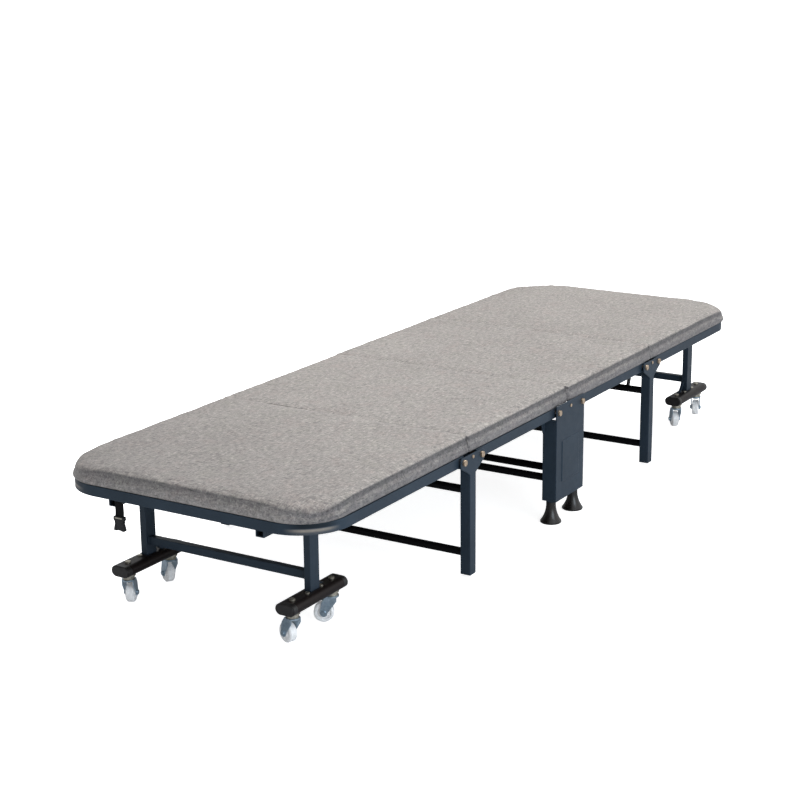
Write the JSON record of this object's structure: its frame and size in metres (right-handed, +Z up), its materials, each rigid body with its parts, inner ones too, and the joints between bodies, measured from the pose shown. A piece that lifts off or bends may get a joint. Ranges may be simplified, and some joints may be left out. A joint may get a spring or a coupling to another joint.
{
  "type": "folding rollaway bed",
  "caption": "Folding rollaway bed with padded sections on a hinged tubular frame, folding legs and castered end feet.",
  "frame": {"origin": "on the floor under the middle of the bed, which is opened flat", "axes": "+X along the bed to its far end, +Y across it, +Z up"},
  "size_m": [1.9, 0.6238, 0.291],
  "materials": {
    "frame_paint": "satin slate-blue powder coat",
    "black_tube": "satin black paint",
    "foot_bar": "semi-gloss black-brown paint",
    "brass_zinc": "yellow zinc plated",
    "zinc": "bright zinc plated",
    "fork_zinc": "blue-white zinc plated",
    "wheel_clear": "translucent clear polyurethane",
    "horn_rubber": "dark semi-gloss rubber",
    "cap_plastic": "black moulded cap",
    "ply": "stained plywood, dark edge",
    "pad_cloth": "heather taupe linen-look cloth",
    "webbing": "black woven webbing",
    "buckle_plastic": "black moulded buckle"
  },
  "bodies": {
    "centre_frame": {"cover_right": "frame_paint", "cover_left": "frame_paint", "centre_crossbars": "black_tube", "centre_leg_tubes": "frame_paint", "horn_feet": "horn_rubber", "centre_pivot_bolts": "brass_zinc"},
    "near_inner_section": {"near_inner_rails": "frame_paint", "near_inner_cross_tubes": "black_tube", "near_inner_board": "ply", "near_inner_pad": "pad_cloth"},
    "near_outer_section": {"near_outer_rail": "frame_paint", "near_outer_under_frame": "frame_paint", "near_outer_board": "ply", "near_outer_pad": "pad_cloth"},
    "near_leg_frame": {"near_legs": "frame_paint", "near_leg_crossbars": "black_tube", "near_leg_bolts": "brass_zinc"},
    "near_end_leg": {"near_end_frame": "frame_paint", "near_t_bars": "foot_bar", "near_t_caps": "cap_plastic", "near_t_screws": "zinc", "near_caster_stems": "zinc"},
    "near_inner_link_pair": {"near_inner_links": "frame_paint"},
    "near_outer_link_pair": {"near_outer_links": "frame_paint"},
    "far_inner_section": {"far_inner_rails": "frame_paint", "far_inner_cross_tubes": "black_tube", "far_inner_board": "ply", "far_inner_pad": "pad_cloth"},
    "far_outer_section": {"far_outer_rail": "frame_paint", "far_outer_under_frame": "frame_paint", "far_outer_board": "ply", "far_outer_pad": "pad_cloth"},
    "far_leg_frame": {"far_legs": "frame_paint", "far_leg_crossbars": "black_tube", "far_leg_bolts": "brass_zinc"},
    "far_end_leg": {"far_end_frame": "frame_paint", "far_t_bars": "foot_bar", "far_t_caps": "cap_plastic", "far_t_screws": "zinc", "far_caster_stems": "zinc"},
    "far_inner_link_pair": {"far_inner_links": "frame_paint"},
    "far_outer_link_pair": {"far_outer_links": "frame_paint"},
    "strap": {"strap_webbing": "webbing", "strap_buckle": "buckle_plastic"},
    "caster_near_right_outer": {"fork_near_right_outer": "fork_zinc"},
    "roller_near_right_outer": {"wheel_near_right_outer": "wheel_clear"},
    "caster_near_right_inner": {"fork_near_right_inner": "fork_zinc"},
    "roller_near_right_inner": {"wheel_near_right_inner": "wheel_clear"},
    "caster_near_left_outer": {"fork_near_left_outer": "fork_zinc"},
    "roller_near_left_outer": {"wheel_near_left_outer": "wheel_clear"},
    "caster_near_left_inner": {"fork_near_left_inner": "fork_zinc"},
    "roller_near_left_inner": {"wheel_near_left_inner": "wheel_clear"},
    "caster_far_right_outer": {"fork_far_right_outer": "fork_zinc"},
    "roller_far_right_outer": {"wheel_far_right_outer": "wheel_clear"},
    "caster_far_right_inner": {"fork_far_right_inner": "fork_zinc"},
    "roller_far_right_inner": {"wheel_far_right_inner": "wheel_clear"},
    "caster_far_left_outer": {"fork_far_left_outer": "fork_zinc"},
    "roller_far_left_outer": {"wheel_far_left_outer": "wheel_clear"},
    "caster_far_left_inner": {"fork_far_left_inner": "fork_zinc"},
    "roller_far_left_inner": {"wheel_far_left_inner": "wheel_clear"}
  },
  "joints": [
    {"name": "near_fold", "type": "hinge", "parent": "centre_frame", "child": "near_inner_section", "pos_m": [-0.055, 0, 0.246], "axis": [0, 1, 0], "range_deg": [0, 90]},
    {"name": "near_leg_frame_hinge", "type": "hinge", "parent": "near_inner_section", "child": "near_leg_frame", "pos_m": [-0.3905, 0, 0.246], "axis": [0, -1, 0], "range_deg": [0, 90]},
    {"name": "near_outer_section_hinge", "type": "hinge", "parent": "near_leg_frame", "child": "near_outer_section", "pos_m": [-0.4595, 0, 0.246], "axis": [0, -1, 0], "range_deg": [0, 90]},
    {"name": "near_end_leg_hinge", "type": "hinge", "parent": "near_outer_section", "child": "near_end_leg", "pos_m": [-0.827, 0, 0.236], "axis": [0, 1, 0], "range_deg": [0, 90]},
    {"name": "near_inner_link_hinge", "type": "hinge", "parent": "centre_frame", "child": "near_inner_link_pair", "pos_m": [-0.071, 0, 0.237], "axis": [0, 1, 0], "range_deg": [0, 90]},
    {"name": "near_outer_link_hinge", "type": "hinge", "parent": "near_leg_frame", "child": "near_outer_link_pair", "pos_m": [-0.4475, 0, 0.237], "axis": [0, -1, 0], "range_deg": [0, 90]},
    {"name": "far_fold", "type": "hinge", "parent": "centre_frame", "child": "far_inner_section", "pos_m": [0.055, 0, 0.246], "axis": [0, -1, 0], "range_deg": [0, 90]},
    {"name": "far_leg_frame_hinge", "type": "hinge", "parent": "far_inner_section", "child": "far_leg_frame", "pos_m": [0.3905, 0, 0.246], "axis": [0, 1, 0], "range_deg": [0, 90]},
    {"name": "far_outer_section_hinge", "type": "hinge", "parent": "far_leg_frame", "child": "far_outer_section", "pos_m": [0.4595, 0, 0.246], "axis": [0, 1, 0], "range_deg": [0, 90]},
    {"name": "far_end_leg_hinge", "type": "hinge", "parent": "far_outer_section", "child": "far_end_leg", "pos_m": [0.827, 0, 0.236], "axis": [0, -1, 0], "range_deg": [0, 90]},
    {"name": "far_inner_link_hinge", "type": "hinge", "parent": "centre_frame", "child": "far_inner_link_pair", "pos_m": [0.071, 0, 0.237], "axis": [0, -1, 0], "range_deg": [0, 90]},
    {"name": "far_outer_link_hinge", "type": "hinge", "parent": "far_leg_frame", "child": "far_outer_link_pair", "pos_m": [0.4475, 0, 0.237], "axis": [0, 1, 0], "range_deg": [0, 90]},
    {"name": "strap_hang", "type": "hinge", "parent": "near_outer_section", "child": "strap", "pos_m": [-0.9415, 0.147, 0.235], "axis": [0, 1, 0], "range_deg": [0, 90]},
    {"name": "swivel_near_right_outer", "type": "hinge", "parent": "near_end_leg", "child": "caster_near_right_outer", "pos_m": [-0.876, -0.19, 0.05], "axis": [0, 0, 1], "continuous": true},
    {"name": "spin_near_right_outer", "type": "hinge", "parent": "caster_near_right_outer", "child": "roller_near_right_outer", "pos_m": [-0.87112, -0.17582, 0.019], "axis": [-0.9455, 0.3256, 0], "continuous": true},
    {"name": "swivel_near_right_inner", "type": "hinge", "parent": "near_end_leg", "child": "caster_near_right_inner", "pos_m": [-0.75, -0.19, 0.05], "axis": [0, 0, 1], "continuous": true},
    {"name": "spin_near_right_inner", "type": "hinge", "parent": "caster_near_right_inner", "child": "roller_near_right_inner", "pos_m": [-0.75773, -0.17714, 0.019], "axis": [-0.8572, -0.515, 0], "continuous": true},
    {"name": "swivel_near_left_outer", "type": "hinge", "parent": "near_end_leg", "child": "caster_near_left_outer", "pos_m": [-0.876, 0.19, 0.05], "axis": [0, 0, 1], "continuous": true},
    {"name": "spin_near_left_outer", "type": "hinge", "parent": "caster_near_left_outer", "child": "roller_near_left_outer", "pos_m": [-0.86241, 0.19634, 0.019], "axis": [-0.4226, 0.9063, 0], "continuous": true},
    {"name": "swivel_near_left_inner", "type": "hinge", "parent": "near_end_leg", "child": "caster_near_left_inner", "pos_m": [-0.75, 0.19, 0.05], "axis": [0, 0, 1], "continuous": true},
    {"name": "spin_near_left_inner", "type": "hinge", "parent": "caster_near_left_inner", "child": "roller_near_left_inner", "pos_m": [-0.74296, 0.20324, 0.019], "axis": [-0.8829, 0.4695, 0], "continuous": true},
    {"name": "swivel_far_right_outer", "type": "hinge", "parent": "far_end_leg", "child": "caster_far_right_outer", "pos_m": [0.876, -0.234, 0.05], "axis": [0, 0, 1], "continuous": true},
    {"name": "spin_far_right_outer", "type": "hinge", "parent": "caster_far_right_outer", "child": "roller_far_right_outer", "pos_m": [0.8901, -0.22887, 0.019], "axis": [-0.342, 0.9397, 0], "continuous": true},
    {"name": "swivel_far_right_inner", "type": "hinge", "parent": "far_end_leg", "child": "caster_far_right_inner", "pos_m": [0.75, -0.234, 0.05], "axis": [0, 0, 1], "continuous": true},
    {"name": "spin_far_right_inner", "type": "hinge", "parent": "caster_far_right_inner", "child": "roller_far_right_inner", "pos_m": [0.76182, -0.22477, 0.019], "axis": [-0.6157, 0.788, 0], "continuous": true},
    {"name": "swivel_far_left_outer", "type": "hinge", "parent": "far_end_leg", "child": "caster_far_left_outer", "pos_m": [0.876, 0.234, 0.05], "axis": [0, 0, 1], "continuous": true},
    {"name": "spin_far_left_outer", "type": "hinge", "parent": "caster_far_left_outer", "child": "roller_far_left_outer", "pos_m": [0.86451, 0.24364, 0.019], "axis": [-0.6428, -0.766, 0], "continuous": true},
    {"name": "swivel_far_left_inner", "type": "hinge", "parent": "far_end_leg", "child": "caster_far_left_inner", "pos_m": [0.75, 0.234, 0.05], "axis": [0, 0, 1], "continuous": true},
    {"name": "spin_far_left_inner", "type": "hinge", "parent": "caster_far_left_inner", "child": "roller_far_left_inner", "pos_m": [0.75388, 0.24849, 0.019], "axis": [-0.9659, 0.2588, 0], "continuous": true}
  ],
  "couplings": [
    {"joint": "near_leg_frame_hinge", "follows": "near_fold", "ratio": 1},
    {"joint": "near_outer_section_hinge", "follows": "near_fold", "ratio": 1},
    {"joint": "near_end_leg_hinge", "follows": "near_fold", "ratio": 1},
    {"joint": "near_inner_link_hinge", "follows": "near_fold", "ratio": 1},
    {"joint": "near_outer_link_hinge", "follows": "near_fold", "ratio": 1},
    {"joint": "far_leg_frame_hinge", "follows": "far_fold", "ratio": 1},
    {"joint": "far_outer_section_hinge", "follows": "far_fold", "ratio": 1},
    {"joint": "far_end_leg_hinge", "follows": "far_fold", "ratio": 1},
    {"joint": "far_inner_link_hinge", "follows": "far_fold", "ratio": 1},
    {"joint": "far_outer_link_hinge", "follows": "far_fold", "ratio": 1},
    {"joint": "strap_hang", "follows": "near_fold", "ratio": 1}
  ]
}
